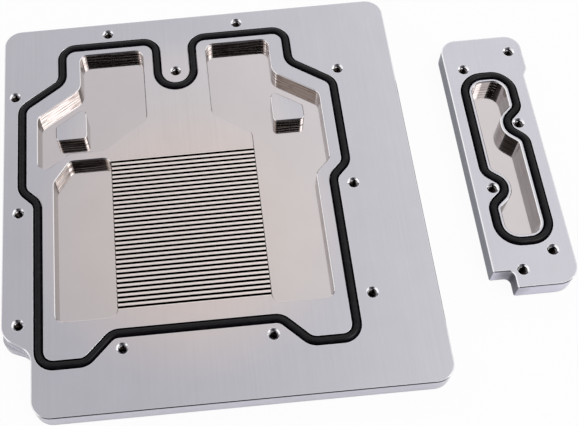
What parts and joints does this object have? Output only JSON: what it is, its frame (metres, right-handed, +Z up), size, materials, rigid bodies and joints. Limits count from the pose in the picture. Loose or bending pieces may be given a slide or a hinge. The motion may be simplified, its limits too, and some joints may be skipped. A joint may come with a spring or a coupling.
{
  "type": "gpu water block",
  "caption": "Open water block for a graphics card: a wide finned cold plate and a narrow regulator block, nickel-plated, each with a rubber sealing ring in its groove.",
  "frame": {"origin": "on the underside of the cold plate, below the middle of its fins, where the processor touches it", "axes": "+X along the card, from the cold plate to the narrow block; +Y away from the cold plate's front edge; +Z up, out of the open water spaces"},
  "size_m": [0.1334, 0.1054, 0.0055],
  "materials": {
    "nickel_plate": "nickel plate on copper, fine milled faces and polished pockets",
    "black_rubber": "satin"
  },
  "bodies": {
    "root": {"cold_plate": "nickel_plate", "cold_plate_ring": "black_rubber", "side_block": "nickel_plate", "side_block_ring": "black_rubber"}
  },
  "joints": []
}
